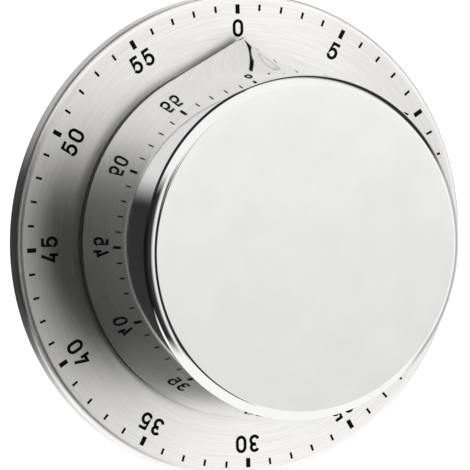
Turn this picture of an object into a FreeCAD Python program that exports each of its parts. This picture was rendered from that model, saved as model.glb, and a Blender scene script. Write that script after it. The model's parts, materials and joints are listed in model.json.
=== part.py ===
import FreeCAD, Part
import math
import os

from FreeCAD import Vector

# A clockwork kitchen timer lying on its magnetic back. Millimetres.
# The origin is the centre of the back face, +Z points out of the dial, +Y to the zero mark.

# dial plate: a pressed stainless dish with a rounded rim and a skirt
plate_radius = 37.5
face_height = 4.0
sheet = 0.8
rim_round = 1.0
rim_inner_round = 0.4
skirt_lift = 0.7

# back cover, magnet and the screws that hold the base together
cover_floor = 1.2
cover_wall = 2.0
cover_gap = 0.15
magnet_outer = 15.0
magnet_inner = 7.0
magnet_thickness = 2.0
magnet_recess = 0.2
magnet_cup_wall = 1.4
magnet_gap = 0.1
screw_radius = 1.25
screw_head_radius = 2.2
screw_head_height = 1.2
screw_head_recess = 0.4
screw_slot = 0.6
screw_grip = 4.0
boss_wall = 1.2

# clearances
running_gap = 0.05
seat_gap = 0.02
end_shake = 0.2
level_gap = 0.4
part_gap = 0.3

# movement frame
movement_radius = 22.6
frame_thickness = 1.0
pillar_radius = 1.5
pillar_margin = 0.6
pillar_first_angle = 75.0
pillar_count = 3
pillar_collar = 0.5
pillar_foot = 1.5
stud_radius = 0.8
nut_corner_radius = 2.0
nut_height = 1.2

# main arbor and the pieces on it
arbor_radius = 1.5
arbor_pivot_radius = 1.2
arbor_flat = 1.0
arbor_collar = 0.8
ratchet_radius = 5.0
ratchet_teeth = 24
ratchet_depth = 0.7
ratchet_thickness = 0.6
ratchet_steepness = 0.94
cam_high_radius = 4.0
cam_low_radius = 2.9
cam_thickness = 1.0
cam_rise_angle = 70.0
cam_drop_angle = 8.0
cam_boss_radius = 2.3
cam_steps = 8

# mainspring
spring_height = 3.0
spring_hub_wall = 0.6
spring_strip = 0.22
spring_pitch = 0.95
spring_turns = 8
spring_angle = 205.0
spring_post_radius = 0.7

# going train: teeth, modules and levels
wheel_thickness = 0.8
thin_wheel = 0.6
leaves = 10
great_teeth = 80
great_module = 0.27
second_teeth = 70
second_module = 0.25
third_teeth = 70
third_module = 0.22
third_ring = 12.5
escape_ring = 14.0
tooth_share = 0.40
wheel_addendum = 0.95
leaf_addendum = 0.60
root_clearance = 0.40
leaf_overlap = 0.2
tooth_tip_share = 0.30
tooth_bulge_share = 0.74
tooth_bulge_height = 0.60
wheel_arbor_radius = 0.7
pivot_radius = 0.4
wheel_rim = 1.6
wheel_hub_radius = 2.2
spoke_width = 1.2
spoke_count = 4

# escapement and balance
escape_teeth = 15
escape_radius = 4.6
escape_depth = 1.3
escape_back_share = 0.22
escape_tip_share = 0.03
escape_front_share = 0.10
pallet_pin_radius = 0.25
pallet_pin_gap = 0.15
pallet_half_span = 36.0
pallet_reach = 7.7
anchor_thickness = 0.4
anchor_arm_width = 1.0
balance_ring = 14.0
balance_radius = 5.8
balance_rim = 1.4
balance_thickness = 0.9
balance_spoke = 1.2

# click and its spring
click_angle = 150.0
click_pivot_ring = 7.6
click_reach = 43.0
click_boss_radius = 0.9
rivet_radius = 0.4
rivet_head_radius = 0.8
rivet_head_height = 0.2
click_clearance = 0.2
click_tooth_share = 0.9
click_heel_share = 0.9
click_spring_sweep = 82.0

# striking work
bell_radius = 17.8
bell_wall = 0.8
bell_height = 4.7
bell_round = 1.6
bell_post_radius = 3.0
bell_seat_radius = 2.4
bell_nut_radius = 3.6
bell_nut_height = 1.0
hammer_ring = 14.0
hammer_angle = 238.0
hammer_sweep = 55.0
hammer_head_radius = 1.6
hammer_head_height = 2.2
hammer_rest_gap = 0.5
hammer_arm_width = 1.6
hammer_arm_thickness = 0.7
hammer_arbor_radius = 0.9
hammer_boss_wall = 0.6
hammer_spring_ring = 7.7
lever_width = 1.4
lever_sweep = 50.0
lever_thickness = 0.7
spring_leaf = 0.3
spring_stud_radius = 0.7

# knob: carrier, stop and polished shell
knob_travel = 348.0
stop_pin_radius = 0.6
stop_pin_margin = 0.3
stop_gap = 0.3
lug_height = 1.4
carrier_gap = 0.85
carrier_wall = 0.8
carrier_disc = 1.2
carrier_hub_radius = 4.0
carrier_hub_depth = 3.0
carrier_ribs = 6
rib_width = 1.2
shell_wall = 0.8
shell_round = 1.8
shell_seat = 0.1
shell_flare = 1.55
shell_lift = 1.9
pointer_reach = 3.3
collar_wall = 1.2
collar_height = 3.4

# ring of the pillars and of the stop pin inside the movement's edge
pillar_ring = movement_radius - pillar_radius - pillar_margin
stop_ring = movement_radius - stop_pin_radius - stop_pin_margin

# radii of the knob, from the movement outwards
carrier_inner = movement_radius + carrier_gap
carrier_outer = carrier_inner + carrier_wall
shell_flat_radius = carrier_outer + shell_seat
shell_top_radius = shell_flat_radius + shell_round
shell_base_radius = shell_top_radius + shell_flare
pointer_radius = shell_base_radius + pointer_reach

# levels, from the back face upwards
plate_under = face_height - sheet
frame_low = face_height
frame_inside = frame_low + frame_thickness
spring_low = frame_inside + level_gap
great_low = spring_low + spring_height + level_gap
ratchet_low = great_low + wheel_thickness + part_gap
second_low = ratchet_low + ratchet_thickness + level_gap + end_shake
anchor_low = second_low + thin_wheel + part_gap
third_low = anchor_low + anchor_thickness + part_gap
balance_low = anchor_low + anchor_thickness
cam_low = third_low + thin_wheel + level_gap
frame_top_low = cam_low + cam_thickness + level_gap + end_shake
frame_top = frame_top_low + frame_thickness
hammer_low = frame_top + part_gap
bell_low = frame_top + part_gap
bell_top = bell_low + bell_height
bell_nut_top = bell_top + bell_nut_height
carrier_under = bell_nut_top + part_gap + carrier_hub_depth
carrier_top = carrier_under + carrier_disc
shell_top = carrier_top + shell_wall
shell_base = face_height + shell_lift

# train centre distances
great_radius = great_module * great_teeth / 2
second_distance = great_radius + great_module * leaves / 2
third_distance = second_module * (second_teeth + leaves) / 2
escape_distance = third_module * (third_teeth + leaves) / 2


def ring_angle(ring_a, ring_b, distance):
    # angle at the centre between two points on two rings, a given distance apart
    cosine = (ring_a ** 2 + ring_b ** 2 - distance ** 2) / (2 * ring_a * ring_b)
    return math.degrees(math.acos(cosine))


def polar(radius, angle, centre=(0.0, 0.0)):
    turn = math.radians(angle)
    return (centre[0] + radius * math.cos(turn), centre[1] + radius * math.sin(turn))


def heading(start, end):
    return math.degrees(math.atan2(end[1] - start[1], end[0] - start[0]))


second_angle = 0.0
third_angle = second_angle + ring_angle(second_distance, third_ring, third_distance)
escape_angle = third_angle + ring_angle(third_ring, escape_ring, escape_distance)
balance_angle = escape_angle + ring_angle(escape_ring, balance_ring, pallet_reach)
main_centre = (0.0, 0.0)
second_centre = polar(second_distance, second_angle)
third_centre = polar(third_ring, third_angle)
escape_centre = polar(escape_ring, escape_angle)
balance_centre = polar(balance_ring, balance_angle)
hammer_centre = polar(hammer_ring, hammer_angle)
click_pivot = polar(click_pivot_ring, click_angle)
lever_tip_angle = hammer_angle - lever_sweep
lever_tip = polar(cam_high_radius + part_gap + lever_width / 2, lever_tip_angle)
head_ring = bell_radius - bell_wall - hammer_rest_gap - hammer_head_radius
head_centre = polar(head_ring, hammer_angle + hammer_sweep)
pillar_angles = [pillar_first_angle + 360.0 * k / pillar_count for k in range(pillar_count)]
pillar_centres = [polar(pillar_ring, angle) for angle in pillar_angles]
stop_angle = pillar_first_angle + 180.0 / pillar_count
spring_hub_radius = arbor_radius + spring_hub_wall
spring_inner = spring_hub_radius + part_gap
spring_outer = spring_inner + spring_pitch * spring_turns + spring_strip
spring_post_centre = polar(spring_outer + spring_post_radius + seat_gap, spring_angle)


def disc(radius, low, height, centre=main_centre):
    return Part.makeCylinder(radius, height, Vector(centre[0], centre[1], low))


def tube(outer, inner, low, height, centre=main_centre):
    return disc(outer, low, height, centre).cut(disc(inner, low, height, centre))


def flat(points):
    return [Vector(point[0], point[1], 0) for point in points]


def prism(edges, low, height):
    face = Part.Face(Part.Wire(edges))
    face.translate(Vector(0, 0, low))
    return face.extrude(Vector(0, 0, height))


def polygon(points, low, height):
    loop = flat(points) + flat(points[:1])
    return prism(Part.makePolygon(loop).Edges, low, height)


def arc(start, middle, end):
    ends = flat([start, middle, end])
    return Part.Arc(ends[0], ends[1], ends[2]).toShape()


def line(start, end):
    ends = flat([start, end])
    return Part.LineSegment(ends[0], ends[1]).toShape()


def bar(start, end, width, low, height):
    # a flat link with round ends about two points
    turn = heading(start, end)
    half = width / 2
    left = polar(half, turn + 90, start)
    right = polar(half, turn - 90, start)
    far_left = polar(half, turn + 90, end)
    far_right = polar(half, turn - 90, end)
    edges = [
        line(right, far_right),
        arc(far_right, polar(half, turn, end), far_left),
        line(far_left, left),
        arc(left, polar(half, turn + 180, start), right),
    ]
    return prism(edges, low, height)


def revolve(points_and_arcs):
    # turns a closed outline in the radius and height plane about the timer's axis
    edges = []
    for piece in points_and_arcs:
        corners = [Vector(r, 0, z) for r, z in piece]
        if len(corners) == 3:
            edges.append(Part.Arc(corners[0], corners[1], corners[2]).toShape())
        else:
            edges.append(Part.LineSegment(corners[0], corners[1]).toShape())
    face = Part.Face(Part.Wire(edges))
    return face.revolve(Vector(0, 0, 0), Vector(0, 0, 1), 360)


def corner(centre_r, centre_z, radius, start, end):
    # three points of a round corner in the radius and height plane
    places = []
    for angle in (start, (start + end) / 2, end):
        turn = math.radians(angle)
        places.append((centre_r + radius * math.cos(turn), centre_z + radius * math.sin(turn)))
    return places


def toothed_disc(teeth, module, addendum, dedendum, phase, low, height, centre):
    # straight radial flanks up to the pitch circle, then arcs that close to a narrow tip
    pitch_radius = module * teeth / 2
    root = pitch_radius - dedendum
    tip = pitch_radius + addendum
    pitch = 360.0 / teeth
    half = pitch * tooth_share / 2
    bulge = pitch_radius + addendum * tooth_bulge_height
    bulge_half = half * tooth_bulge_share
    tip_half = half * tooth_tip_share
    edges = []
    for tooth in range(teeth):
        middle = phase + tooth * pitch
        gap_end = middle + pitch - half
        low_side = polar(root, middle - half, centre)
        low_pitch = polar(pitch_radius, middle - half, centre)
        low_bulge = polar(bulge, middle - bulge_half, centre)
        low_tip = polar(tip, middle - tip_half, centre)
        high_tip = polar(tip, middle + tip_half, centre)
        high_bulge = polar(bulge, middle + bulge_half, centre)
        high_pitch = polar(pitch_radius, middle + half, centre)
        high_side = polar(root, middle + half, centre)
        gap_middle = polar(root, (middle + half + gap_end) / 2, centre)
        next_side = polar(root, gap_end, centre)
        edges.append(line(low_side, low_pitch))
        edges.append(arc(low_pitch, low_bulge, low_tip))
        edges.append(line(low_tip, high_tip))
        edges.append(arc(high_tip, high_bulge, high_pitch))
        edges.append(line(high_pitch, high_side))
        edges.append(arc(high_side, gap_middle, next_side))
    return prism(edges, low, height)


def wheel_blank(teeth, module, phase, low, height, centre):
    addendum = wheel_addendum * module
    dedendum = (leaf_addendum + root_clearance) * module
    return toothed_disc(teeth, module, addendum, dedendum, phase, low, height, centre)


def pinion_blank(module, phase, low, height, centre):
    addendum = leaf_addendum * module
    dedendum = (wheel_addendum + root_clearance) * module
    return toothed_disc(leaves, module, addendum, dedendum, phase, low, height, centre)


def meshed_phase(phase, teeth, direction, other_teeth):
    # turns the second gear so that its gaps meet the first gear's teeth on the line of centres
    offset = ((phase - direction) * teeth / 360.0) % 1.0
    return direction + 180.0 - (offset + 0.5) * 360.0 / other_teeth


great_phase = 0.0
toward_second = heading(main_centre, second_centre)
second_leaf_phase = meshed_phase(great_phase, great_teeth, toward_second, leaves)
second_phase = 0.0
toward_third = heading(second_centre, third_centre)
third_leaf_phase = meshed_phase(second_phase, second_teeth, toward_third, leaves)
third_phase = 0.0
toward_escape = heading(third_centre, escape_centre)
escape_leaf_phase = meshed_phase(third_phase, third_teeth, toward_escape, leaves)
escape_phase = heading(escape_centre, balance_centre)


def make_dial_plate():
    skirt_inner = plate_radius - sheet
    bend_r = skirt_inner - rim_inner_round
    bend_z = plate_under - rim_inner_round
    outline = [
        [(0, plate_under), (bend_r, plate_under)],
        corner(bend_r, bend_z, rim_inner_round, 90, 0),
        [(skirt_inner, bend_z), (skirt_inner, skirt_lift)],
        [(skirt_inner, skirt_lift), (plate_radius, skirt_lift)],
        [(plate_radius, skirt_lift), (plate_radius, face_height - rim_round)],
        corner(plate_radius - rim_round, face_height - rim_round, rim_round, 0, 90),
        [(plate_radius - rim_round, face_height), (0, face_height)],
        [(0, face_height), (0, plate_under)],
    ]
    plate = revolve(outline)
    for centre in pillar_centres:
        plate = plate.cut(disc(screw_radius + seat_gap, plate_under, sheet, centre))
    return plate


def make_back_cover():
    outer = plate_radius - sheet - cover_gap
    cup_outer = magnet_outer + magnet_gap + magnet_cup_wall
    cover = disc(outer, 0, plate_under)
    corner_room = revolve([
        [(outer - rim_round, plate_under), (outer, plate_under)],
        [(outer, plate_under), (outer, plate_under - rim_round)],
        [(outer, plate_under - rim_round), (outer - rim_round, plate_under)],
    ])
    cover = cover.cut(corner_room)
    hollow = tube(outer - cover_wall, cup_outer, cover_floor, plate_under - cover_floor)
    for centre in pillar_centres:
        hollow = hollow.cut(disc(screw_head_radius + boss_wall, 0, plate_under, centre))
    cover = cover.cut(hollow)
    pocket_depth = magnet_recess + magnet_thickness
    cover = cover.cut(tube(magnet_outer + magnet_gap, magnet_inner - magnet_gap, 0, pocket_depth))
    for centre in pillar_centres:
        head_room = disc(screw_head_radius + magnet_gap, 0, screw_head_recess + screw_head_height, centre)
        shank_room = disc(screw_radius + seat_gap, 0, plate_under, centre)
        cover = cover.cut(head_room).cut(shank_room)
    return cover


def make_magnet():
    return tube(magnet_outer, magnet_inner, magnet_recess, magnet_thickness)


def make_base_screws():
    head_top = screw_head_recess + screw_head_height
    screws = []
    for centre in pillar_centres:
        head = disc(screw_head_radius, screw_head_recess, screw_head_height, centre)
        shank = disc(screw_radius, head_top, frame_inside + screw_grip - head_top, centre)
        slot_low = Vector(centre[0] - screw_head_radius, centre[1] - screw_slot / 2, screw_head_recess)
        slot = Part.makeBox(2 * screw_head_radius, screw_slot, screw_head_height / 2, slot_low)
        screws.append(head.fuse(shank).removeSplitter().cut(slot))
    return Part.makeCompound(screws)


def make_dust_collar():
    # a ring inside the shell's rim with a wider foot just below it
    outer = shell_base_radius - shell_wall - part_gap
    inner = outer - collar_wall
    ring = tube(outer, inner, face_height, collar_height)
    foot = tube(shell_base_radius - part_gap, inner, face_height, shell_lift - part_gap)
    return ring.fuse(foot).removeSplitter()


def pivot_centres():
    return [second_centre, third_centre, escape_centre, balance_centre]


def make_lower_plate():
    plate = disc(movement_radius, frame_low, frame_thickness)
    plate = plate.cut(disc(arbor_pivot_radius + running_gap, frame_low, frame_thickness))
    for centre in pivot_centres() + [hammer_centre]:
        plate = plate.cut(disc(pivot_radius + running_gap, frame_low, frame_thickness, centre))
    for centre in pillar_centres:
        plate = plate.cut(disc(screw_radius + seat_gap, frame_low, frame_thickness, centre))
    return plate


def make_upper_plate():
    plate = disc(movement_radius, frame_top_low, frame_thickness)
    plate = plate.cut(disc(arbor_radius + running_gap, frame_top_low, frame_thickness))
    for centre in pivot_centres():
        plate = plate.cut(disc(pivot_radius + running_gap, frame_top_low, frame_thickness, centre))
    hammer_hole = hammer_arbor_radius + running_gap
    plate = plate.cut(disc(hammer_hole, frame_top_low, frame_thickness, hammer_centre))
    for centre in pillar_centres:
        plate = plate.cut(disc(stud_radius + seat_gap, frame_top_low, frame_thickness, centre))
    return plate


def make_pillars():
    # turned pillars with a collar at each end, a stud above and a threaded hole below
    collar = pillar_radius + pillar_collar
    length = frame_top_low - frame_inside
    pillars = []
    for centre in pillar_centres:
        body = disc(collar, frame_inside, length, centre)
        waist = tube(collar, pillar_radius, frame_inside + pillar_foot, length - 2 * pillar_foot, centre)
        stud = disc(stud_radius, frame_top_low, frame_thickness + nut_height + part_gap, centre)
        hole = disc(screw_radius, frame_inside, screw_grip + part_gap, centre)
        pillars.append(body.cut(waist).fuse(stud).removeSplitter().cut(hole))
    return Part.makeCompound(pillars)


def hexagon_nut(corner_radius, bore, low, height, centre):
    corners = [polar(corner_radius, 60.0 * k, centre) for k in range(6)]
    return polygon(corners, low, height).cut(disc(bore, low, height, centre))


def make_pillar_nuts():
    nuts = []
    for centre in pillar_centres:
        nuts.append(hexagon_nut(nut_corner_radius, stud_radius, frame_top, nut_height, centre))
    return Part.makeCompound(nuts)


def make_stop_pin():
    length = carrier_under - part_gap - frame_top
    return disc(stop_pin_radius, frame_top, length, polar(stop_ring, stop_angle))


def arbor_section(low, height):
    # the round arbor with one flat, shared by the arbor's top and the knob's hub
    beyond = Vector(arbor_flat, -arbor_radius, low)
    removed = Part.makeBox(arbor_radius, 2 * arbor_radius, height, beyond)
    return disc(arbor_radius, low, height).cut(removed)


def make_main_arbor():
    shoulder = frame_inside + end_shake
    hub_low = bell_nut_top + part_gap
    pivot = disc(arbor_pivot_radius, frame_low + end_shake, frame_thickness)
    body = disc(arbor_radius, shoulder, hub_low - shoulder)
    spring_hub = disc(spring_hub_radius, spring_low, spring_height)
    collar = disc(arbor_radius + arbor_collar, spring_low + spring_height, level_gap - end_shake)
    top = arbor_section(hub_low, carrier_top - hub_low)
    return pivot.fuse([body, spring_hub, collar, top]).removeSplitter()


def make_ratchet_wheel():
    # saw teeth whose steep faces drive the click as the spring runs down
    pitch = 360.0 / ratchet_teeth
    points = []
    for tooth in range(ratchet_teeth):
        points.append(polar(ratchet_radius - ratchet_depth, tooth * pitch))
        points.append(polar(ratchet_radius, (tooth + ratchet_steepness) * pitch))
    wheel = polygon(points, ratchet_low, ratchet_thickness)
    return wheel.cut(disc(arbor_radius, ratchet_low, ratchet_thickness))


def make_trip_cam():
    # a lobe that lifts the hammer over the last minutes and lets it drop at zero
    lift = cam_high_radius - cam_low_radius
    start = lever_tip_angle
    peak = start + cam_drop_angle
    low_end = peak + cam_rise_angle
    lobe = [polar(cam_low_radius, start)]
    for step in range(cam_steps + 1):
        share = step / cam_steps
        fall = 0.5 - 0.5 * math.cos(math.pi * share)
        lobe.append(polar(cam_high_radius - lift * fall, peak + cam_rise_angle * share))
    ramp = Part.BSplineCurve()
    ramp.interpolate(flat(lobe[1:]))
    round_middle = polar(cam_low_radius, (low_end + start + 360.0) / 2)
    edges = [line(lobe[0], lobe[1]), ramp.toShape(), arc(lobe[-1], round_middle, lobe[0])]
    cam = prism(edges, cam_low, cam_thickness)
    boss = disc(cam_boss_radius, cam_low + cam_thickness, level_gap)
    return cam.fuse(boss).cut(disc(arbor_radius, cam_low, cam_thickness + level_gap))


def spiral(first_radius):
    # half circles about two centres half a pitch apart, each half a pitch larger than the last
    edges = []
    radius = first_radius
    for half in range(2 * spring_turns):
        side = 1 - 2 * (half % 2)
        centre = spring_pitch / 2 * (half % 2)
        edges.append(arc((centre + side * radius, 0), (centre, side * radius), (centre - side * radius, 0)))
        radius += spring_pitch / 2
    return edges


def make_mainspring():
    inner = spiral(spring_inner)
    outer = spiral(spring_inner + spring_strip)
    far = spring_inner + spring_pitch * spring_turns
    near_end = line((spring_inner, 0), (spring_inner + spring_strip, 0))
    far_end = line((far, 0), (far + spring_strip, 0))
    loop = Part.__sortEdges__(inner + outer + [near_end, far_end])
    spring = prism(loop, spring_low, spring_height)
    spring.rotate(Vector(0, 0, 0), Vector(0, 0, 1), spring_angle)
    return spring


def make_spring_post():
    length = spring_low + spring_height - frame_inside
    return disc(spring_post_radius, frame_inside, length, spring_post_centre)


def crossed(wheel, tip_radius, low, height, centre):
    # opens a wheel between its rim and its hub, leaving the spokes
    window = tube(tip_radius - wheel_rim, wheel_hub_radius, low, height, centre)
    for spoke in range(spoke_count):
        end = polar(tip_radius, 360.0 * spoke / spoke_count, centre)
        window = window.cut(bar(centre, end, spoke_width, low, height))
    return wheel.cut(window)


def train_wheel(teeth, module, phase, low, centre):
    wheel = wheel_blank(teeth, module, phase, low, thin_wheel, centre)
    wheel = crossed(wheel, module * teeth / 2, low, thin_wheel, centre)
    return wheel.cut(disc(wheel_arbor_radius, low, thin_wheel, centre))


def train_arbor(centre):
    # a staff with a pivot at each end, running in the two frame plates
    shoulder_low = frame_inside + end_shake
    shoulder_high = frame_top_low - end_shake
    low_pivot = disc(pivot_radius, frame_low + end_shake, frame_thickness, centre)
    body = disc(wheel_arbor_radius, shoulder_low, shoulder_high - shoulder_low, centre)
    high_pivot = disc(pivot_radius, shoulder_high, frame_thickness + end_shake, centre)
    return low_pivot.fuse([body, high_pivot]).removeSplitter()


def pinion_arbor(centre, module, phase, wheel_low, wheel_height):
    low = wheel_low - leaf_overlap
    height = wheel_height + 2 * leaf_overlap
    leaves_solid = pinion_blank(module, phase, low, height, centre)
    return train_arbor(centre).fuse(leaves_solid).removeSplitter()


def make_great_wheel():
    wheel = wheel_blank(great_teeth, great_module, great_phase, great_low, wheel_thickness, main_centre)
    wheel = wheel.cut(disc(arbor_radius + running_gap, great_low, wheel_thickness))
    return wheel.cut(disc(rivet_radius, great_low, wheel_thickness, click_pivot))


def make_click_rivet():
    head_low = ratchet_low + ratchet_thickness + rivet_head_height / 2
    shank = disc(rivet_radius, great_low, head_low - great_low, click_pivot)
    return shank.fuse(disc(rivet_head_radius, head_low, rivet_head_height, click_pivot)).removeSplitter()


def make_click():
    # its nose lies against a steep tooth face, its pivot ahead of it
    pitch = 360.0 / ratchet_teeth
    steep = pitch * round((click_angle - click_reach) / pitch)
    nose = steep + math.degrees(click_clearance / ratchet_radius)
    root = ratchet_radius - ratchet_depth
    points = [
        polar(root + click_clearance, nose),
        polar(ratchet_radius + click_clearance, nose + pitch * click_tooth_share),
        polar(click_boss_radius * click_heel_share, click_angle + 180.0, click_pivot),
        polar(click_boss_radius * click_heel_share, click_angle, click_pivot),
        polar(ratchet_radius + click_boss_radius, nose),
    ]
    pawl = polygon(points, ratchet_low, ratchet_thickness)
    pawl = pawl.fuse(disc(click_boss_radius, ratchet_low, ratchet_thickness, click_pivot)).removeSplitter()
    return pawl.cut(disc(rivet_radius + running_gap, ratchet_low, ratchet_thickness, click_pivot))


def make_click_spring():
    # a leaf from a stud on the great wheel to the back of the click
    stud_centre = polar(click_pivot_ring + click_boss_radius, click_angle - click_spring_sweep)
    leaf_end = polar(ratchet_radius + 2 * click_boss_radius, click_angle - click_reach)
    stud = disc(spring_stud_radius, great_low + wheel_thickness, part_gap + ratchet_thickness, stud_centre)
    leaf = bar(stud_centre, leaf_end, spring_leaf, ratchet_low, ratchet_thickness)
    return stud.fuse(leaf).removeSplitter()


def make_escape_wheel():
    # pointed teeth, leaning the way the wheel turns
    pitch = 360.0 / escape_teeth
    root = escape_radius - escape_depth
    points = []
    for tooth in range(escape_teeth):
        middle = escape_phase + tooth * pitch
        points.append(polar(root, middle - pitch * escape_back_share, escape_centre))
        points.append(polar(escape_radius, middle - pitch * escape_tip_share, escape_centre))
        points.append(polar(escape_radius, middle + pitch * escape_tip_share, escape_centre))
        points.append(polar(root, middle + pitch * escape_front_share, escape_centre))
    wheel = polygon(points, second_low, thin_wheel)
    return wheel.cut(disc(wheel_arbor_radius, second_low, thin_wheel, escape_centre))


def pallet_centres():
    toward_balance = heading(escape_centre, balance_centre)
    reach = escape_radius + pallet_pin_radius + pallet_pin_gap
    turns = (-pallet_half_span, pallet_half_span)
    return [polar(reach, toward_balance + turn, escape_centre) for turn in turns]


def make_pallet_anchor():
    arms = []
    for pin in pallet_centres():
        arms.append(bar(balance_centre, pin, anchor_arm_width, anchor_low, anchor_thickness))
    hub = disc(anchor_arm_width, anchor_low, anchor_thickness, balance_centre)
    anchor = hub.fuse(arms).removeSplitter()
    for pin in pallet_centres():
        anchor = anchor.cut(disc(pallet_pin_radius, anchor_low, anchor_thickness, pin))
    return anchor.cut(disc(wheel_arbor_radius, anchor_low, anchor_thickness, balance_centre))


def make_pallet_pins():
    low = second_low - end_shake / 2
    length = anchor_low + anchor_thickness - low
    return Part.makeCompound([disc(pallet_pin_radius, low, length, pin) for pin in pallet_centres()])


def make_balance_wheel():
    rim_inner = balance_radius - balance_rim
    rim = tube(balance_radius, rim_inner, balance_low, balance_thickness, balance_centre)
    across = heading(balance_centre, escape_centre) + 90.0
    rim_middle = balance_radius - balance_rim / 2
    first_end = polar(rim_middle, across, balance_centre)
    second_end = polar(rim_middle, across + 180.0, balance_centre)
    spoke = bar(first_end, second_end, balance_spoke, balance_low, balance_thickness)
    hub = disc(balance_rim, balance_low, balance_thickness, balance_centre)
    wheel = rim.fuse([spoke, hub]).removeSplitter()
    return wheel.cut(disc(wheel_arbor_radius, balance_low, balance_thickness, balance_centre))


def make_hammer_arbor():
    shoulder = frame_inside + end_shake
    top = hammer_low + hammer_arm_thickness
    pivot = disc(pivot_radius, frame_low + end_shake, frame_thickness, hammer_centre)
    body = disc(hammer_arbor_radius, shoulder, top - shoulder, hammer_centre)
    return pivot.fuse(body).removeSplitter()


def make_hammer_lever():
    lever = bar(hammer_centre, lever_tip, lever_width, cam_low, lever_thickness)
    boss = disc(hammer_arbor_radius + hammer_boss_wall, cam_low, lever_thickness, hammer_centre)
    lever = lever.fuse(boss).removeSplitter()
    return lever.cut(disc(hammer_arbor_radius, cam_low, lever_thickness, hammer_centre))


def make_hammer_arm():
    arm = bar(hammer_centre, head_centre, hammer_arm_width, hammer_low, hammer_arm_thickness)
    boss = disc(hammer_arbor_radius + hammer_boss_wall, hammer_low, hammer_arm_thickness, hammer_centre)
    arm = arm.fuse(boss).removeSplitter()
    return arm.cut(disc(hammer_arbor_radius, hammer_low, hammer_arm_thickness, hammer_centre))


def make_hammer_head():
    return disc(hammer_head_radius, hammer_low + hammer_arm_thickness, hammer_head_height, head_centre)


def make_hammer_spring():
    # a leaf from a stud on the upper plate to the inner side of the hammer arm
    halfway = ((hammer_centre[0] + head_centre[0]) / 2, (hammer_centre[1] + head_centre[1]) / 2)
    arm_heading = heading(hammer_centre, head_centre)
    offset = (hammer_arm_width + spring_leaf) / 2 + part_gap
    leaf_end = polar(offset, arm_heading + 90.0, halfway)
    stud_centre = polar(hammer_spring_ring, hammer_angle)
    stud = disc(spring_stud_radius, frame_top, part_gap + hammer_arm_thickness, stud_centre)
    leaf = bar(stud_centre, leaf_end, spring_leaf, hammer_low, hammer_arm_thickness)
    return stud.fuse(leaf).removeSplitter()


def make_bell():
    inner_round = bell_round - bell_wall
    inner = bell_radius - bell_wall
    under = bell_top - bell_wall
    outline = [
        [(bell_seat_radius, bell_top), (bell_radius - bell_round, bell_top)],
        corner(bell_radius - bell_round, bell_top - bell_round, bell_round, 90, 0),
        [(bell_radius, bell_top - bell_round), (bell_radius, bell_low)],
        [(bell_radius, bell_low), (inner, bell_low)],
        [(inner, bell_low), (inner, under - inner_round)],
        corner(inner - inner_round, under - inner_round, inner_round, 0, 90),
        [(inner - inner_round, under), (bell_seat_radius, under)],
        [(bell_seat_radius, under), (bell_seat_radius, bell_top)],
    ]
    return revolve(outline)


def make_bell_post():
    under = bell_top - bell_wall
    column = disc(bell_post_radius, frame_top, under - frame_top)
    neck = disc(bell_seat_radius, under, bell_nut_top - under)
    bore = disc(arbor_radius + part_gap, frame_top, bell_nut_top - frame_top)
    return column.fuse(neck).removeSplitter().cut(bore)


def make_bell_nut():
    return hexagon_nut(bell_nut_radius, bell_seat_radius, bell_top, bell_nut_height, main_centre)


def knob_outline(radius, reach, height, opening):
    # round, with straight tangent flanks that meet at the pointer
    left = polar(radius, 90.0 + opening)
    right = polar(radius, 90.0 - opening)
    tip = polar(reach, 90.0)
    flanks = [line(left, tip), line(tip, right)]
    if reach <= radius:
        left_middle = polar(radius, 90.0 + opening / 2)
        right_middle = polar(radius, 90.0 - opening / 2)
        flanks = [arc(left, left_middle, tip), arc(tip, right_middle, right)]
    wire = Part.Wire(flanks + [arc(right, polar(radius, -90.0), left)])
    wire.translate(Vector(0, 0, height))
    return wire


def knob_form(inset, low):
    # the drum inside the polished skin: flared walls below, a rounded edge and a flat top
    opening = math.degrees(math.acos(shell_base_radius / pointer_radius))
    widest = shell_top - shell_round
    slope = shell_flare / (widest - shell_base)
    base = shell_base_radius - inset + slope * (shell_base - low)
    reach = base * pointer_radius / shell_base_radius
    top = shell_top_radius - inset
    wires = [knob_outline(base, reach, low, opening), knob_outline(top, top, widest, opening)]
    wall = Part.makeLoft(wires, True, True)
    edge_round = shell_round - inset
    cap = revolve([
        [(0, widest), (top, widest)],
        corner(shell_flat_radius, widest, edge_round, 0, 90),
        [(shell_flat_radius, widest + edge_round), (0, widest + edge_round)],
        [(0, widest + edge_round), (0, widest)],
    ])
    return wall.fuse(cap).removeSplitter()


def make_knob_shell():
    return knob_form(0, shell_base).cut(knob_form(shell_wall, shell_base))


def carrier_rib_shapes(low):
    # thin ribs from the carrier's skirt out to the inside of the shell
    length = carrier_under - low
    core = disc(carrier_outer - carrier_wall / 2, low, length)
    room = knob_form(shell_wall + seat_gap, shell_base)
    ribs = []
    for k in range(carrier_ribs):
        rib = Part.makeBox(shell_base_radius, rib_width, length, Vector(0, -rib_width / 2, low))
        rib.rotate(Vector(0, 0, 0), Vector(0, 0, 1), 360.0 * (k + 0.5) / carrier_ribs)
        ribs.append(rib.cut(core).common(room))
    return ribs


def stop_lug():
    # the lug that meets the stop pin at both ends of the travel
    pin_half = math.degrees(math.asin(stop_pin_radius / stop_ring))
    rest_gap = (360.0 - knob_travel) / 2
    half = rest_gap - pin_half - math.degrees(stop_gap / stop_ring)
    middle = stop_angle - rest_gap
    low = carrier_under - lug_height
    ring = tube(carrier_inner + carrier_wall / 2, stop_ring - stop_pin_radius, low, lug_height)
    beyond = 2 * carrier_outer
    wedge = [main_centre, polar(beyond, middle - half), polar(beyond, middle + half)]
    return ring.common(polygon(wedge, low, lug_height))


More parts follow.
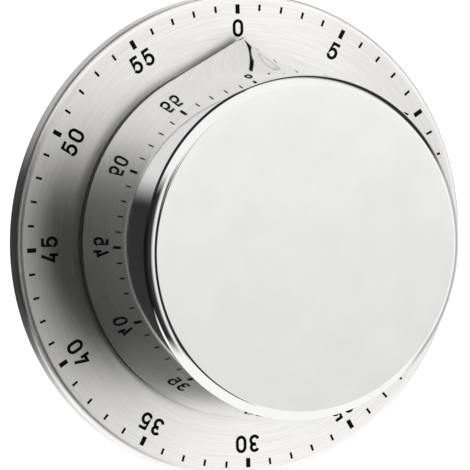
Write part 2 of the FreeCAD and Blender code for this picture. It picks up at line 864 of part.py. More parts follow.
def make_knob_carrier():
    hub_low = bell_nut_top + part_gap
    skirt_low = shell_base + shell_wall
    carrier = disc(carrier_outer, carrier_under, carrier_disc)
    hub = disc(carrier_hub_radius, hub_low, carrier_under - hub_low)
    skirt = tube(carrier_outer, carrier_inner, skirt_low, carrier_under - skirt_low)
    ribs = carrier_rib_shapes(skirt_low + collar_height)
    carrier = carrier.fuse([hub, skirt, stop_lug()] + ribs).removeSplitter()
    return carrier.cut(arbor_section(hub_low, carrier_top - hub_low))


def make_second_arbor():
    return pinion_arbor(second_centre, great_module, second_leaf_phase, great_low, wheel_thickness)


def make_third_arbor():
    return pinion_arbor(third_centre, second_module, third_leaf_phase, second_low, thin_wheel)


def make_escape_arbor():
    return pinion_arbor(escape_centre, third_module, escape_leaf_phase, third_low, thin_wheel)


def make_second_wheel():
    return train_wheel(second_teeth, second_module, second_phase, second_low, second_centre)


def make_third_wheel():
    return train_wheel(third_teeth, third_module, third_phase, third_low, third_centre)


def make_balance_arbor():
    return train_arbor(balance_centre)


makers = {
    "dial_plate": make_dial_plate,
    "back_cover": make_back_cover,
    "magnet": make_magnet,
    "base_screws": make_base_screws,
    "dust_collar": make_dust_collar,
    "lower_plate": make_lower_plate,
    "upper_plate": make_upper_plate,
    "movement_pillars": make_pillars,
    "pillar_nuts": make_pillar_nuts,
    "stop_pin": make_stop_pin,
    "mainspring": make_mainspring,
    "spring_post": make_spring_post,
    "bell": make_bell,
    "bell_post": make_bell_post,
    "bell_nut": make_bell_nut,
    "hammer_spring": make_hammer_spring,
    "main_arbor": make_main_arbor,
    "ratchet_wheel": make_ratchet_wheel,
    "trip_cam": make_trip_cam,
    "knob_carrier": make_knob_carrier,
    "knob_shell": make_knob_shell,
    "great_wheel": make_great_wheel,
    "click_rivet": make_click_rivet,
    "click_spring": make_click_spring,
    "click": make_click,
    "second_arbor": make_second_arbor,
    "second_wheel": make_second_wheel,
    "third_arbor": make_third_arbor,
    "third_wheel": make_third_wheel,
    "escape_arbor": make_escape_arbor,
    "escape_wheel": make_escape_wheel,
    "balance_arbor": make_balance_arbor,
    "pallet_anchor": make_pallet_anchor,
    "pallet_pins": make_pallet_pins,
    "balance_wheel": make_balance_wheel,
    "hammer_arbor": make_hammer_arbor,
    "hammer_lever": make_hammer_lever,
    "hammer_arm": make_hammer_arm,
    "hammer_head": make_hammer_head,
}

os.makedirs("parts", exist_ok=True)
for node, maker in makers.items():
    shape = maker()
    shape.exportStep("parts/" + node + ".step")
    print(node, "valid", shape.isValid(), "solids", len(shape.Solids), "volume", round(shape.Volume, 2))
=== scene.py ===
import json
import math

import bpy
import numpy as np
from mathutils import Matrix, Vector


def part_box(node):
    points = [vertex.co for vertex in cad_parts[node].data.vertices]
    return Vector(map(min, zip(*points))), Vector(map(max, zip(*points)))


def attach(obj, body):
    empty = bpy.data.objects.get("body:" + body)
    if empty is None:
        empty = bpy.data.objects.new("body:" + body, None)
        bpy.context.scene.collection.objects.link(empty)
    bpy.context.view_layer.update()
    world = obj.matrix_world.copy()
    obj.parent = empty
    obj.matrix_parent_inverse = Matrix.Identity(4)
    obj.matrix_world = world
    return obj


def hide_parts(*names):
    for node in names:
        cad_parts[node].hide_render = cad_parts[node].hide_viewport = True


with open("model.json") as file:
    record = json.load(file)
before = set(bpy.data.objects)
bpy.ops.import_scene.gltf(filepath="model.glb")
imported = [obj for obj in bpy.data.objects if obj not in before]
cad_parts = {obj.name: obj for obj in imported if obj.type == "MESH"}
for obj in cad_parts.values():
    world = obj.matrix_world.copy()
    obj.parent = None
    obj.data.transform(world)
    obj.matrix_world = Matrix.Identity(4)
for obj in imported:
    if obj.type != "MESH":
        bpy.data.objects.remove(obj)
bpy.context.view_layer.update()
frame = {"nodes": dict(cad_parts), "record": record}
mm = 0.001
print("timer: CAD frame loaded,", len(frame["nodes"]), "nodes")

# levels and radii that the new pieces take from the CAD nodes they stand for, in millimetres
plateLow, plateHigh = (np.array(corner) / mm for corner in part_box("dial_plate"))
shellLow, shellHigh = (np.array(corner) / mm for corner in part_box("knob_shell"))
plateRadius, faceHeight, skirtHeight = plateHigh[0], plateHigh[2], plateLow[2]
knobRadius, pointerReach = shellHigh[0], shellHigh[1]
knobBottom, knobTop = shellLow[2], shellHigh[2]


# working helpers

def toLinear(hexColour):
    # sRGB hex to the linear colour that shaders work in
    parts = np.array([int(hexColour[i:i + 2], 16) for i in (1, 3, 5)]) / 255.0
    linear = np.where(parts <= 0.04045, parts / 12.92, ((parts + 0.055) / 1.055) ** 2.4)
    return (*linear.tolist(), 1.0)


def addNode(tree, kind, settings=None, links=None):
    # adds a node; a setting is a property, or an input by its name or number
    node = tree.nodes.new(kind)
    for name, value in (settings or {}).items():
        if isinstance(name, str) and hasattr(node, name):
            setattr(node, name, value)
        else:
            node.inputs[name].default_value = value
    for name, socket in (links or {}).items():
        tree.links.new(socket, node.inputs[name])
    return node


def startMaterial(name, settings):
    # an empty material with one Principled shader, its fixed values set on its own sockets
    material = bpy.data.materials.new(name)
    material.use_nodes = True
    tree = material.node_tree
    tree.nodes.clear()
    shader = addNode(tree, "ShaderNodeBsdfPrincipled", settings)
    addNode(tree, "ShaderNodeOutputMaterial", None, {"Surface": shader.outputs["BSDF"]})
    return material, tree, shader


def meshFromGrid(name, points, run=None):
    # rows follow the profile and columns go round, closed on themselves; the first and last rows
    # are single points that triangles close; run, the way along the profile, adds a map
    rows, columns = points.shape[:2]
    corner = np.arange(rows * columns).reshape(rows, columns)
    turned = np.roll(corner, -1, axis=1)
    cells = np.stack([corner[:-1], corner[1:], turned[1:], turned[:-1]], axis=-1)
    orders = [[0, 1, 2], [0, 1, 2, 3], [0, 1, 3]]    # first row, rows between, last row
    a, b, c, d = points.reshape(-1, 3)[cells.reshape(-1, 4)].transpose(1, 0, 2)
    if (a * (np.cross(b, c) + np.cross(c, d))).sum() < 0:
        orders = [order[::-1] for order in orders]

    def blocks(values):
        parts = zip((values[:1], values[1:-1], values[-1:]), orders)
        return [part.reshape(-1, *values.shape[2:])[:, order] for part, order in parts]

    merged = np.clip(cells - columns + 1, 0, (rows - 2) * columns + 1)
    vertices = np.concatenate([points[0, :1], points[1:-1].reshape(-1, 3), points[-1, :1]])
    mesh = bpy.data.meshes.new(name)
    faces = [face for block in blocks(merged) for face in block.tolist()]
    mesh.from_pydata((vertices * mm).tolist(), [], faces)
    if run is not None:
        # the last column ends at 1 and not at 0, so the map has no fold at the seam
        column = np.arange(columns)
        across = np.stack([column, column, column + 1, column + 1], axis=-1)[None] / columns + 0 * cells
        along = np.stack([run[:-1], run[1:], run[1:], run[:-1]], axis=-1)[:, None] + 0 * cells
        pairs = np.concatenate([block.reshape(-1) for block in blocks(np.stack([across, along], axis=-1))])
        layer = mesh.uv_layers.new(name="around")
        layer.data.foreach_set("uv", pairs.astype(np.float32))
    mesh.polygons.foreach_set("use_smooth", np.ones(len(mesh.polygons), dtype=bool))
    mesh.validate()
    piece = bpy.data.objects.new(name, mesh)
    bpy.context.scene.collection.objects.link(piece)
    return piece


def arc(centreR, centreZ, radius, start, end, steps):
    # points of a round corner in the radius and height plane
    angles = np.radians(np.linspace(start, end, steps))
    return np.stack([centreR + radius * np.cos(angles), centreZ + radius * np.sin(angles)], axis=-1)


# the camera

cameraView = {
    "tilt": 24.6,            # degrees between the line of sight and the dial's normal
    "azimuth": 167.0,        # degrees from +X towards +Y, where the camera stands
    "roll": 1.36,
    "aim": (-1.33, 0.34),    # the point of the dial's face in the middle of the frame, mm
    "distance": 850.1,
    "lens": 422.1,           # on a 36 mm sensor
}


def placeCamera(view):
    tilt, azimuth, roll = (math.radians(view[key]) for key in ("tilt", "azimuth", "roll"))
    back = Vector((math.sin(tilt) * math.cos(azimuth), math.sin(tilt) * math.sin(azimuth), math.cos(tilt)))
    level = (Vector((0, 1, 0)) - back * back.y).normalized()
    side = level.cross(back)
    up = level * math.cos(roll) + side * math.sin(roll)
    right = up.cross(back)
    place = Vector((*view["aim"], faceHeight)) * mm + back * view["distance"] * mm
    lens = bpy.data.cameras.new("camera")
    lens.lens, lens.sensor_width, lens.clip_start, lens.clip_end = view["lens"], 36.0, 0.05, 20.0
    camera = bpy.data.objects.new("camera", lens)
    camera.matrix_world = Matrix.Translation(place) @ Matrix((right, up, back)).transposed().to_4x4()
    bpy.context.scene.collection.objects.link(camera)
    bpy.context.scene.camera = camera


placeCamera(cameraView)
print("timer: camera placed")


# the knob's polished shell, with its pointer

knobShell = {
    # the turned-over edge, from the face outwards: a tight bend, a nearly flat bevel, a wider bend;
    # each is an arc with its radius and the tilts it runs between
    "edge": ((0.65, 0, 38), (5.8, 38, 50), (1.2, 50, 86)),
    "topRadius": 26.15,      # where the wall meets that edge
    "noseRadius": 0.8,       # the pointer's blunt tip at the bottom
    "noseGrowth": 2.8,       # how fast the tip widens into the drum on the way up
    "rise": 0.05,            # share of the height over which the pointer leaves the drum
    "hollow": 0.42,          # how much the pointer's back is hollowed, like a pulled lip
    "wall": 0.8,
    "lip": 0.32,             # round on the rim of the open bottom
    "columns": 480,
    "crowding": 1.8,         # more than 1 draws the columns together at the pointer
    "rows": {"bend": 12, "face": 14, "wall": 64, "lip": 8, "inner": 40, "innerRound": 10, "ceiling": 8},
}


def hullRadius(big, small, offset, turn):
    # distance from the axis to the outline of a big circle and a small one, offset along +Y,
    # wrapped in a tight band: round the small circle near the tip, straight on the tangent
    # flanks, and round the big circle elsewhere
    reach = np.maximum(offset, 1e-9)
    tangent = np.arccos(np.clip((big - small) / reach, 0.0, 1.0))
    tipTurn = np.arctan2(small * np.sin(tangent), offset + small * np.cos(tangent))
    nose = offset * np.cos(turn) + np.sqrt(np.maximum(small ** 2 - (offset * np.sin(turn)) ** 2, 0.0))
    flank = big / np.cos(np.clip(turn - tangent, -1.5, 1.5))
    return np.where(turn < tipTurn, nose, np.where(turn < tangent, flank, big))


def makeKnobShell(look):
    # a section runs from the face's centre over the round edge, down the flared wall, round the
    # lip and back up inside; each of its stations is an inset from the outside and a height
    wall, lip, rows = look["wall"], look["lip"], look["rows"]
    steps = []
    for radius, start, end in look["edge"]:
        tilt = np.radians(np.linspace(start, end, rows["bend"]))
        steps.append(np.stack([radius * np.diff(np.sin(tilt)), radius * np.diff(np.cos(tilt))], axis=-1))
    rounded = np.cumsum(np.concatenate(steps), axis=0)   # outwards and downwards from the face's rim
    edge, shoulder = rounded[-1, 0], knobTop + rounded[-1, 1]
    rounded = np.stack([edge - rounded[:, 0], knobTop + rounded[:, 1]], axis=-1)
    face = np.linspace(look["topRadius"], edge, rows["face"])[:, None] * [1, 0] + [0, knobTop]
    fall = np.linspace(0, 1, rows["wall"])[1:]
    outer = np.stack([0 * fall, shoulder - (shoulder - knobBottom - lip) * fall], axis=-1)
    lipTurn = np.radians(np.linspace(180, 270, rows["lip"]))[1:]
    outerLip = np.stack([lip + lip * np.cos(lipTurn), knobBottom + lip + lip * np.sin(lipTurn)], axis=-1)
    innerLip = np.stack([wall - outerLip[::-1, 0], outerLip[::-1, 1]], axis=-1)
    inside = np.linspace(knobBottom + lip, shoulder, rows["inner"])
    inner = np.stack([0 * inside + wall, inside], axis=-1)
    run, climb = edge - wall / 2, knobTop - wall - shoulder
    back = np.radians(np.linspace(0, 90, rows["innerRound"]))[1:]
    innerRound = np.stack([wall + run * (1 - np.cos(back)), shoulder + climb * np.sin(back)], axis=-1)
    ceiling = np.linspace(wall + run, look["topRadius"], rows["ceiling"])[1:, None] * [1, 0]
    ceiling = ceiling + [0, knobTop - wall]
    stations = np.concatenate([face, rounded, outer, outerLip, innerLip, inner, innerRound, ceiling])
    inset, height = stations[:, :1], stations[:, 1:]
    # share is how far a station lies down the wall; with it the drum flares, the pointer's reach
    # rises like a hyperbola plus a square, and the pointer's tip narrows by a power
    share = np.clip((shoulder - height) / (shoulder - knobBottom), 0.0, 1.0)
    rise = np.sqrt(share ** 2 + look["rise"] ** 2) - look["rise"]
    rise = (1 - look["hollow"]) * rise / rise.max() + look["hollow"] * share ** 2
    drum = look["topRadius"] + (knobRadius - look["topRadius"]) * share
    nose = look["noseRadius"] + (look["topRadius"] - look["noseRadius"]) * (1 - share) ** look["noseGrowth"]
    reach = look["topRadius"] + (pointerReach - look["topRadius"]) * rise
    offset = np.maximum(reach - nose, 0.0)
    around = np.linspace(-1, 1, look["columns"] + 1)[:-1][None, :]
    angle = math.pi * np.sign(around) * np.abs(around) ** look["crowding"]
    radius = hullRadius(np.maximum(drum - inset, 0.0), np.maximum(nose - inset, 0.0), offset, np.abs(angle))
    points = np.stack([radius * np.sin(angle), radius * np.cos(angle), height + 0 * angle], axis=-1)
    return meshFromGrid("knobSkin", points)


knobSkin = makeKnobShell(knobShell)
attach(knobSkin, "knob")
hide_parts("knob_shell")
print("timer: knob shell made")


# the dial: a pressed dish with a round rim and a skirt

dialDish = {
    "sheet": 0.8,
    "rimRound": 1.0,
    "innerRound": 0.4,
    "lip": 0.25,
    "columns": 360,
    "rows": {"face": 48, "rim": 14, "skirt": 6, "lip": 6, "inner": 8, "under": 12},
}


def makeDial(look):
    # a turned section: flat face, quarter round rim, skirt, lip, and back up inside to the middle
    sheet, rim, inner, lip = look["sheet"], look["rimRound"], look["innerRound"], look["lip"]
    rows = look["rows"]
    under, inside = faceHeight - sheet, plateRadius - sheet
    face = np.linspace(0, plateRadius - rim, rows["face"])[:, None] * [1, 0] + [0, faceHeight]
    skirt = [[plateRadius, z] for z in np.linspace(faceHeight - rim, skirtHeight + lip, rows["skirt"])[1:-1]]
    innerSkirt = [[inside, z] for z in np.linspace(skirtHeight + lip, under - inner, rows["skirt"])[1:-1]]
    section = np.concatenate([
        face,
        arc(plateRadius - rim, faceHeight - rim, rim, 90, 0, rows["rim"])[1:],
        skirt,
        arc(plateRadius - lip, skirtHeight + lip, lip, 0, -90, rows["lip"]),
        arc(inside + lip, skirtHeight + lip, lip, -90, -180, rows["lip"]),
        innerSkirt,
        arc(inside - inner, under - inner, inner, 0, 90, rows["inner"]),
        np.linspace(inside - inner, 0, rows["under"])[1:, None] * [1, 0] + [0, under],
    ])
    angle = np.linspace(0, 2 * math.pi, look["columns"] + 1)[:-1][None, :]
    radius, height = section[:, :1], section[:, 1:]
    points = np.stack([radius * np.cos(angle), radius * np.sin(angle), height + 0 * angle], axis=-1)
    run = np.cumsum(np.r_[0, np.linalg.norm(np.diff(section, axis=0), axis=1)]) / plateRadius
    return meshFromGrid("dialDish", points, run)


dial = makeDial(dialDish)
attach(dial, "base")
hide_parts("dial_plate")
print("timer: dial made")


# the printed scale: sixty marks and the numbers of every fifth minute

scalePrint = {
    "inkHeight": 0.03,
    "inkLift": 0.004,                       # keeps the ink's underside clear of the steel
    "minuteMark": (34.9, 35.9, 0.36),       # inner radius, outer radius, width
    "fiveMark": (34.45, 35.9, 0.70),
    "numberFoot": 30.87,                    # radius of the numbers' lower edge
    "numberHeight": 2.75,
    "digitWidth": 1.78,
    "digitGap": 0.46,
    "stroke": 0.48,
    "sharpest": 0.35,                       # limits how far a mitre runs out at a sharp corner
}


def ribbon(path, width):
    # a band of constant width along an open or closed path, mitred at its corners
    path = np.asarray(path, dtype=float)
    closed = np.allclose(path[0], path[-1])
    line = path[:-1] if closed else path
    before = np.roll(line, 1, axis=0) if closed else np.r_[2 * line[:1] - line[1:2], line[:-1]]
    after = np.roll(line, -1, axis=0) if closed else np.r_[line[1:], 2 * line[-1:] - line[-2:-1]]
    into = (line - before) / np.linalg.norm(line - before, axis=1)[:, None]
    out = (after - line) / np.linalg.norm(after - line, axis=1)[:, None]
    normal = np.stack([-(into + out)[:, 1], (into + out)[:, 0]], axis=-1)
    normal /= np.linalg.norm(normal, axis=1)[:, None]
    square = np.stack([-into[:, 1], into[:, 0]], axis=-1)
    reach = np.maximum(np.einsum("ij,ij->i", normal, square), scalePrint["sharpest"])
    mitre = normal / reach[:, None]
    return line + mitre * width / 2, line - mitre * width / 2, closed


def slab(path, width, place, points, faces):
    # adds a ribbon as a thin closed slab of ink, put on the dial by the function place
    left, right, closed = ribbon(path, width)
    count = len(left)
    base = sum(len(block) for block in points)
    for side in (left, right):
        for height in (scalePrint["inkLift"], scalePrint["inkHeight"]):
            points.append(np.column_stack([place(side), np.full(count, faceHeight + height)]))
    steps = np.arange(count if closed else count - 1)
    after = (steps + 1) % count
    lowLeft, highLeft, lowRight, highRight = (base + count * k for k in range(4))
    sides = ((highLeft, highRight), (lowRight, lowLeft), (lowLeft, highLeft), (highRight, lowRight))
    for first, second in sides:
        faces.append(np.column_stack([first + steps, second + steps, second + after, first + after]))
    if not closed:
        for end, order in ((0, 1), (count - 1, -1)):
            corners = [lowLeft + end, lowRight + end, highRight + end, highLeft + end]
            faces.append(np.array([corners[::order]]))


def bend(centre, radii, start, end, steps=22):
    # points on part of an ellipse, in degrees from the right
    turn = np.radians(np.linspace(start, end, steps))
    return np.column_stack([centre[0] + radii[0] * np.cos(turn), centre[1] + radii[1] * np.sin(turn)])


def digitPaths(look):
    # each digit's strokes on a plain upright grid, middle of the stroke, foot at zero
    half, h, s = look["stroke"] / 2, look["numberHeight"], look["digitWidth"]
    left, right, low, high = half, s - half, half, h - half
    mid, rx = s / 2, (s - look["stroke"]) / 2
    upper, lower = (h - look["stroke"]) * 0.235, (h - look["stroke"]) * 0.285
    bowl = (h - look["stroke"]) * 0.32
    zero = np.concatenate([
        bend((mid, high - rx * 1.12), (rx, rx * 1.12), 0, 180, 18),
        bend((mid, low + rx * 1.12), (rx, rx * 1.12), 180, 360, 18),
    ])
    return {
        "0": [np.concatenate([zero, zero[:1]])],
        "1": [[(mid - 0.62 * rx, high - 0.52), (mid + 0.30 * rx, high - 0.02), (mid + 0.30 * rx, 0)]],
        "2": [np.concatenate([
            bend((mid, high - rx * 0.92), (rx * 0.94, rx * 0.92), 172, -24, 20),
            [(left + 0.06, low), (right + half, low)]])],
        "3": [np.concatenate([
            bend((mid - 0.02, high - upper), (rx * 0.88, upper), 160, -90, 20),
            bend((mid - 0.04, low + lower), (rx * 0.98, lower), 90, -160, 22)])],
        "4": [[(right - 0.16, h * 0.27), (left, h * 0.27), (mid + 0.16, h)],
              [(right - 0.40, h * 0.52), (right - 0.40, 0)]],
        "5": [np.concatenate([
            [(right, high), (left + 0.20, high), (left + 0.06, h * 0.46)],
            bend((mid - 0.06, low + bowl), (rx * 1.02, bowl), 128, -158, 24)])],
    }


def makeInk(name, strokes):
    # one mesh of many thin slabs; strokes is a list of (path, width, place)
    points, faces = [], []
    for path, width, place in strokes:
        slab(path, width, place, points, faces)
    mesh = bpy.data.meshes.new(name)
    mesh.from_pydata((np.concatenate(points) * mm).tolist(), [], np.concatenate(faces).tolist())
    mesh.validate()
    piece = bpy.data.objects.new(name, mesh)
    bpy.context.scene.collection.objects.link(piece)
    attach(piece, "base")
    return piece


def onDial(minute, across=0.0, out=0.0):
    # takes a path's (sideways, outwards) points to the dial, turned clockwise to its minute
    turn = -2 * math.pi * minute / 60

    def place(flat):
        side, away = flat[:, 0] + across, flat[:, 1] + out
        return np.column_stack([
            side * math.cos(turn) - away * math.sin(turn),
            side * math.sin(turn) + away * math.cos(turn)])
    return place


def scaleStrokes(look):
    minutes, fives, numbers = [], [], []
    digits = digitPaths(look)
    for minute in range(60):
        isFive = minute % 5 == 0
        inner, outer, width = look["fiveMark" if isFive else "minuteMark"]
        (fives if isFive else minutes).append(([(0, inner), (0, outer)], width, onDial(minute)))
        if isFive:
            text = str(minute)
            whole = len(text) * look["digitWidth"] + (len(text) - 1) * look["digitGap"]
            for k, digit in enumerate(text):
                across = -whole / 2 + k * (look["digitWidth"] + look["digitGap"])
                place = onDial(minute, across, look["numberFoot"])
                numbers += [(path, look["stroke"], place) for path in digits[digit]]
    return minutes, fives, numbers


minuteStrokes, fiveStrokes, numberStrokes = scaleStrokes(scalePrint)
inkPieces = [
    makeInk("minuteMarks", minuteStrokes),
    makeInk("fiveMinuteMarks", fiveStrokes),
    makeInk("scaleNumbers", numberStrokes),
]
print("timer: scale printed")


# materials

def ringPattern(tree, look):
    # fine rings round the axis, broken into arcs: noise of the radius and of the direction, both
    # from Object coordinates, so there is no seam; an arc has its length at the middle radius
    place = addNode(tree, "ShaderNodeTexCoord").outputs["Object"]
    flat = addNode(tree, "ShaderNodeVectorMath", {"operation": "MULTIPLY", 1: (1, 1, 0)}, {0: place})
    length = addNode(tree, "ShaderNodeVectorMath", {"operation": "LENGTH"}, {0: flat.outputs[0]})
    heading = addNode(tree, "ShaderNodeVectorMath", {"operation": "NORMALIZE"}, {0: flat.outputs[0]})
    around = addNode(tree, "ShaderNodeVectorMath", {
        "operation": "SCALE", "Scale": look["middleRadius"] / look["arcLength"]}, {0: heading.outputs[0]})
    rings = addNode(tree, "ShaderNodeMath", {"operation": "MULTIPLY", 1: 1 / (look["spacing"] * mm)},
                    {0: length.outputs["Value"]})
    upright = addNode(tree, "ShaderNodeCombineXYZ", None, {"Z": rings.outputs[0]})
    joined = addNode(tree, "ShaderNodeVectorMath", {"operation": "ADD"},
                     {0: around.outputs[0], 1: upright.outputs[0]})
    noise = addNode(tree, "ShaderNodeTexNoise", {"Scale": 1.0, "Detail": 4.0, "Roughness": 0.6},
                    {"Vector": joined.outputs[0]})
    return noise.outputs["Fac"]


def spread(tree, factor, low, high, fromLow=0.3, fromHigh=0.7):
    # stretches a pattern to the range that a socket needs
    stretched = addNode(tree, "ShaderNodeMapRange", {1: fromLow, 2: fromHigh, 3: low, 4: high}, {0: factor})
    return stretched.outputs[0]


def tinted(tree, factor, dark, light):
    # the pattern as a colour between two close tones
    mixed = addNode(tree, "ShaderNodeMix", {"data_type": "RGBA", 6: toLinear(dark), 7: toLinear(light)},
                    {0: factor})
    return mixed.outputs[2]


brushedLook = {
    "dark": "#E2E1DE", "light": "#FAF9F7",
    "spacing": 0.14,       # real brush lines are about 0.05 mm apart, drawn coarser so they show
    "arcLength": 7.0, "middleRadius": 30.0,
    "roughness": (0.28, 0.34),
    "anisotropy": 0.8,
    "relief": 0.002,
    "strength": 0.6,
}


def brushedStainless(look):
    # 18/10 stainless sheet, brushed in circles round the middle: broken rings of light and dark,
    # and a highlight pulled out along the radius
    material, tree, shader = startMaterial("circularBrushedStainless", {
        "Metallic": 1.0, "Anisotropic": look["anisotropy"], "Anisotropic Rotation": 0.25})
    lines = ringPattern(tree, look)
    tree.links.new(tinted(tree, spread(tree, lines, 0, 1), look["dark"], look["light"]),
                   shader.inputs["Base Color"])
    tree.links.new(spread(tree, lines, *look["roughness"]), shader.inputs["Roughness"])
    bump = addNode(tree, "ShaderNodeBump", {"Strength": look["strength"], "Distance": look["relief"] * mm},
                   {"Height": lines})
    tree.links.new(bump.outputs[0], shader.inputs["Normal"])
    tangent = addNode(tree, "ShaderNodeTangent", {"direction_type": "UV_MAP", "uv_map": "around"})
    tree.links.new(tangent.outputs[0], shader.inputs["Tangent"])
    return material


polishedLook = {
    "dark": "#E2E2E1", "light": "#E6E6E5",
    "hazeSpacing": 6.0,    # polishing leaves broad, very faint differences of gloss
    "roughness": (0.035, 0.055),
    "grain": 0.35,
}


def polishedStainless(look):
    # stainless pressing, buffed to a mirror: near-perfect reflections with a breath of haze
    material, tree, shader = startMaterial("mirrorPolishedStainless", {"Metallic": 1.0})
    place = addNode(tree, "ShaderNodeTexCoord").outputs["Object"]
    haze = addNode(tree, "ShaderNodeTexNoise", {"Scale": 1 / (look["hazeSpacing"] * mm), "Detail": 3.0},
                   {"Vector": place})
    fine = addNode(tree, "ShaderNodeTexNoise", {"Scale": 1 / (look["grain"] * mm), "Detail": 2.0},
                   {"Vector": place})
    tree.links.new(tinted(tree, spread(tree, haze.outputs["Fac"], 0, 1), look["dark"], look["light"]),
                   shader.inputs["Base Color"])
    tree.links.new(spread(tree, fine.outputs["Fac"], *look["roughness"]), shader.inputs["Roughness"])
    return material


# finishes of the carried-over nodes and the ink: two close tones, a roughness range, and a grain
# whose size and stretch are in millimetres
finishes = {
    # screen-printed enamel ink: dense, nearly flat black with a slightly uneven film
    "scale_print": {"name": "screenPrintedInk", "dark": "#060607", "light": "#0C0C0D", "metallic": 0.0,
                    "specular": 0.08, "roughness": (0.62, 0.78), "grain": (0.25, 0.25, 0.25),
                    "relief": 0.002},
    # moulded ABS with a spark-eroded grain: soft black, a fine leathery sparkle in raking light
    "black_plastic": {"name": "grainedAbs", "dark": "#141415", "light": "#1F1F20", "metallic": 0.0,
                      "roughness": (0.42, 0.62), "grain": (0.35, 0.35, 0.35), "relief": 0.02},
    # sintered ferrite: charcoal grey, matt and slightly speckled
    "ferrite": {"name": "sinteredFerrite", "dark": "#2B2C2F", "light": "#3F4043", "metallic": 0.15,
                "roughness": (0.5, 0.7), "grain": (0.5, 0.5, 0.5), "relief": 0.012},
    # zinc-plated steel: cool bright grey with cloudy patches
    "zinc_steel": {"name": "zincPlatedSteel", "dark": "#A9AEB3", "light": "#D2D6D8", "metallic": 1.0,
                   "roughness": (0.22, 0.38), "grain": (0.6, 0.6, 0.6), "relief": 0.004},
    # rolled brass sheet: warm yellow with long faint rolling streaks
    "rolled_brass": {"name": "rolledBrassSheet", "dark": "#B8924A", "light": "#D9B96F", "metallic": 1.0,
                     "roughness": (0.22, 0.36), "grain": (5.0, 0.18, 0.4), "relief": 0.003},
    # nickel-plated bell steel: bright, faintly warm, lightly spun
    "nickel_steel": {"name": "nickelPlatedSteel", "dark": "#C7C3BB", "light": "#E4E1DA", "metallic": 1.0,
                     "roughness": (0.10, 0.20), "grain": (2.5, 2.5, 0.12), "relief": 0.002},
    # blued spring steel: dark blue grey strip with a straw tinge where the temper differs
    "spring_steel": {"name": "temperedSpringSteel", "dark": "#3C4552", "light": "#6B6A66", "metallic": 1.0,
                     "roughness": (0.24, 0.40), "grain": (3.0, 3.0, 0.5), "relief": 0.002},
    # turned free-cutting steel: clean grey with fine rings from the tool
    "turned_steel": {"name": "turnedSteel", "dark": "#9C9EA0", "light": "#C9CBCC", "metallic": 1.0,
                     "roughness": (0.20, 0.34), "grain": (1.2, 1.2, 0.10), "relief": 0.003},
}


def grainedFinish(look):
    # noise stretched to the grain's own proportions, for the tone, the gloss and a shallow relief
    material, tree, shader = startMaterial(look["name"], {
        "Metallic": look["metallic"], "Specular IOR Level": look.get("specular", 0.5)})
    place = addNode(tree, "ShaderNodeTexCoord").outputs["Object"]
    scaled = addNode(tree, "ShaderNodeMapping", {"Scale": tuple(1 / (size * mm) for size in look["grain"])},
                     {"Vector": place})
    grain = addNode(tree, "ShaderNodeTexNoise", {"Scale": 1.0, "Detail": 3.0, "Roughness": 0.55},
                    {"Vector": scaled.outputs[0]})
    factor = grain.outputs["Fac"]
    tree.links.new(tinted(tree, spread(tree, factor, 0, 1), look["dark"], look["light"]),
                   shader.inputs["Base Color"])
    tree.links.new(spread(tree, factor, *look["roughness"]), shader.inputs["Roughness"])
    bump = addNode(tree, "ShaderNodeBump", {"Strength": 0.5, "Distance": look["relief"] * mm},
                   {"Height": factor})
    tree.links.new(bump.outputs[0], shader.inputs["Normal"])
    return material


materials = {slot: grainedFinish(look) for slot, look in finishes.items()}
materials["brushed_stainless"] = brushedStainless(brushedLook)
materials["polished_stainless"] = polishedStainless(polishedLook)

for subpart in frame["record"]["subparts"]:
    node = frame["nodes"][subpart["node"]]
    node.data.materials.clear()
    node.data.materials.append(materials[subpart["material_slot"]])
dial.data.materials.append(materials["brushed_stainless"])
knobSkin.data.materials.append(materials["polished_stainless"])
for piece in inkPieces:
    piece.data.materials.append(materials["scale_print"])
print("timer: materials given")


# floor and light

studio = {
    "floorSize": 3000.0,
    "floorDrop": 0.1,        # keeps the floor clear of the back face, which lies at zero
    "floorColour": "#F4F4F3", "floorShade": "#EFEFEE",
    "floorGlow": 0.95,
    # brightness of the surroundings by angle in the left to right plane: 0 right, 90 above, 180 left
    "surround": [(-90, 0.50), (-60, 0.50), (-40, 0.35), (-10, 0.60), (0, 0.90), (30, 1.20), (60, 1.25),
                 (73, 1.20), (77, 0.05), (95, 0.03), (138, 0.03), (143, 1.10), (147, 1.10), (154, 0.05),
                 (172, 0.01), (226, 0.01), (236, 0.035), (262, 0.05), (269, 0.30)],
    "sideLight": 1.20, "below": 0.90,
    "ceiling": 1.17,
    "middle": 1.12, "middleLow": 0.963,
    "gloom": 0.03,
}


def makeFloor(look):
    # a flat sheet of lit white acrylic, gently uneven, not seen in the metal
    half, count = look["floorSize"] / 2, 5
    steps = np.linspace(-half, half, count)
    across, along = np.meshgrid(steps, steps)
    points = np.stack([across, along, 0 * across - look["floorDrop"]], axis=-1).reshape(-1, 3)
    index = np.arange(count ** 2).reshape(count, count)
    quads = np.stack([index[:-1, :-1], index[:-1, 1:], index[1:, 1:], index[1:, :-1]], axis=-1)
    mesh = bpy.data.meshes.new("floor")
    mesh.from_pydata((points * mm).tolist(), [], quads.reshape(-1, 4).tolist())
    floor = bpy.data.objects.new("floor", mesh)
    bpy.context.scene.collection.objects.link(floor)
    material, tree, shader = startMaterial("litWhiteAcrylic", {
        "Roughness": 0.6, "Emission Color": (1, 1, 1, 1), "Emission Strength": look["floorGlow"]})
    place = addNode(tree, "ShaderNodeTexCoord").outputs["Object"]
    cloud = addNode(tree, "ShaderNodeTexNoise", {"Scale": 4.0, "Detail": 1.0}, {"Vector": place})
    tree.links.new(tinted(tree, cloud.outputs["Fac"], look["floorShade"], look["floorColour"]),
                   shader.inputs["Base Color"])
    mesh.materials.append(material)
    floor.visible_glossy = False
    return floor


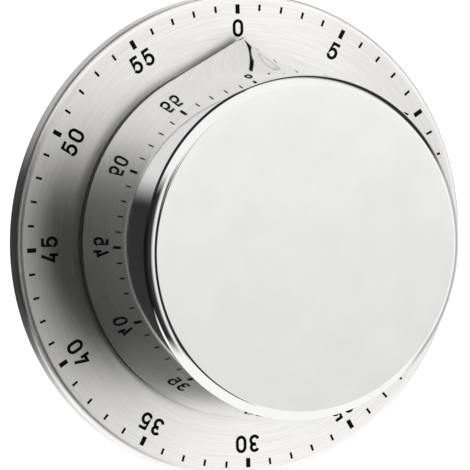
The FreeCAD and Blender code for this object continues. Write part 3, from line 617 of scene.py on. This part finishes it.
def makeSurround(look):
    # soft boxes above and to the right, darkness to the left and below, as one smooth surround
    world = bpy.data.worlds.new("studio")
    bpy.context.scene.world = world
    world.use_nodes = True
    tree = world.node_tree
    tree.nodes.clear()
    heading = addNode(tree, "ShaderNodeTexCoord").outputs["Generated"]
    parts = addNode(tree, "ShaderNodeSeparateXYZ", None, {0: heading}).outputs
    angle = addNode(tree, "ShaderNodeMath", {"operation": "ARCTAN2"}, {0: parts["Z"], 1: parts["X"]})
    turn = addNode(tree, "ShaderNodeMath", {"operation": "MULTIPLY_ADD", 1: 0.5 / math.pi, 2: 0.25},
                   {0: angle.outputs[0]})
    share = addNode(tree, "ShaderNodeMath", {"operation": "FRACT"}, {0: turn.outputs[0]})
    ramp = addNode(tree, "ShaderNodeValToRGB", None, {0: share.outputs[0]})
    stops = ramp.color_ramp.elements
    for number, (degrees, value) in enumerate(look["surround"]):
        place = (degrees + 90) / 360
        stop = stops[number] if number < 2 else stops.new(place)
        stop.position, stop.color = place, (value, value, value, 1)
    # each patch is a product of soft steps along X, Y and Z, laid over the ramp in turn
    low, high, white, middle = look["gloom"], look["ceiling"], look["sideLight"], look["middle"]
    facing = ((parts["X"], 0.25, 0.34), (parts["X"], 0.56, 0.47), (parts["Y"], -0.30, -0.20),
              (parts["Z"], 0.0, 0.1))
    patches = [
        # far side, below the horizon
        (((parts["Y"], 0.10, 0.28), (parts["Z"], 0.02, -0.10)), low),
        # far side, low down
        (((parts["Y"], 0.18, 0.36), (parts["Z"], -0.76, -0.82)), look["below"]),
        # right, below
        (((parts["X"], -0.05, 0.15), (parts["Z"], -0.30, -0.50)), look["below"]),
        # far side and overhead, fading to the left; then the far side all along
        (((parts["Y"], 0.06, 0.26), (parts["Z"], 0.0, 0.15), (parts["X"], -0.55, -0.05)), high),
        (((parts["Y"], 0.40, 0.62), (parts["Z"], 0.0, 0.15)), high),
        # near side: below, to the right, and low down all along
        (((parts["Y"], -0.46, -0.60), (parts["Z"], 0.0, -0.2)), white),
        (((parts["Y"], -0.46, -0.60), (parts["X"], 0.1, 0.4)), white),
        (((parts["Y"], -0.68, -0.82),), white),
        # the soft box's dimmer middle, which the knob's face shows, and its lower part
        (facing + ((parts["Y"], 0.05, -0.02),), middle),
        (facing + ((parts["Y"], -0.05, -0.13),), look["middleLow"]),
    ]
    colour = ramp.outputs["Color"]
    for edges, value in patches:
        share = None
        for axis, start, end in edges:
            step = addNode(tree, "ShaderNodeMapRange", {"interpolation_type": "SMOOTHSTEP", 1: start, 2: end},
                           {0: axis}).outputs[0]
            share = step if share is None else addNode(
                tree, "ShaderNodeMath", {"operation": "MULTIPLY"}, {0: share, 1: step}).outputs[0]
        colour = addNode(tree, "ShaderNodeMix", {"data_type": "RGBA", 7: (value, value, value, 1)},
                         {0: share, 6: colour}).outputs[2]
    sky = addNode(tree, "ShaderNodeBackground", {"Strength": 1.0}, {"Color": colour})
    addNode(tree, "ShaderNodeOutputWorld", None, {"Surface": sky.outputs[0]})


makeFloor(studio)
makeSurround(studio)
bpy.context.scene.view_settings.view_transform = "Standard"
print("timer: floor and light made")
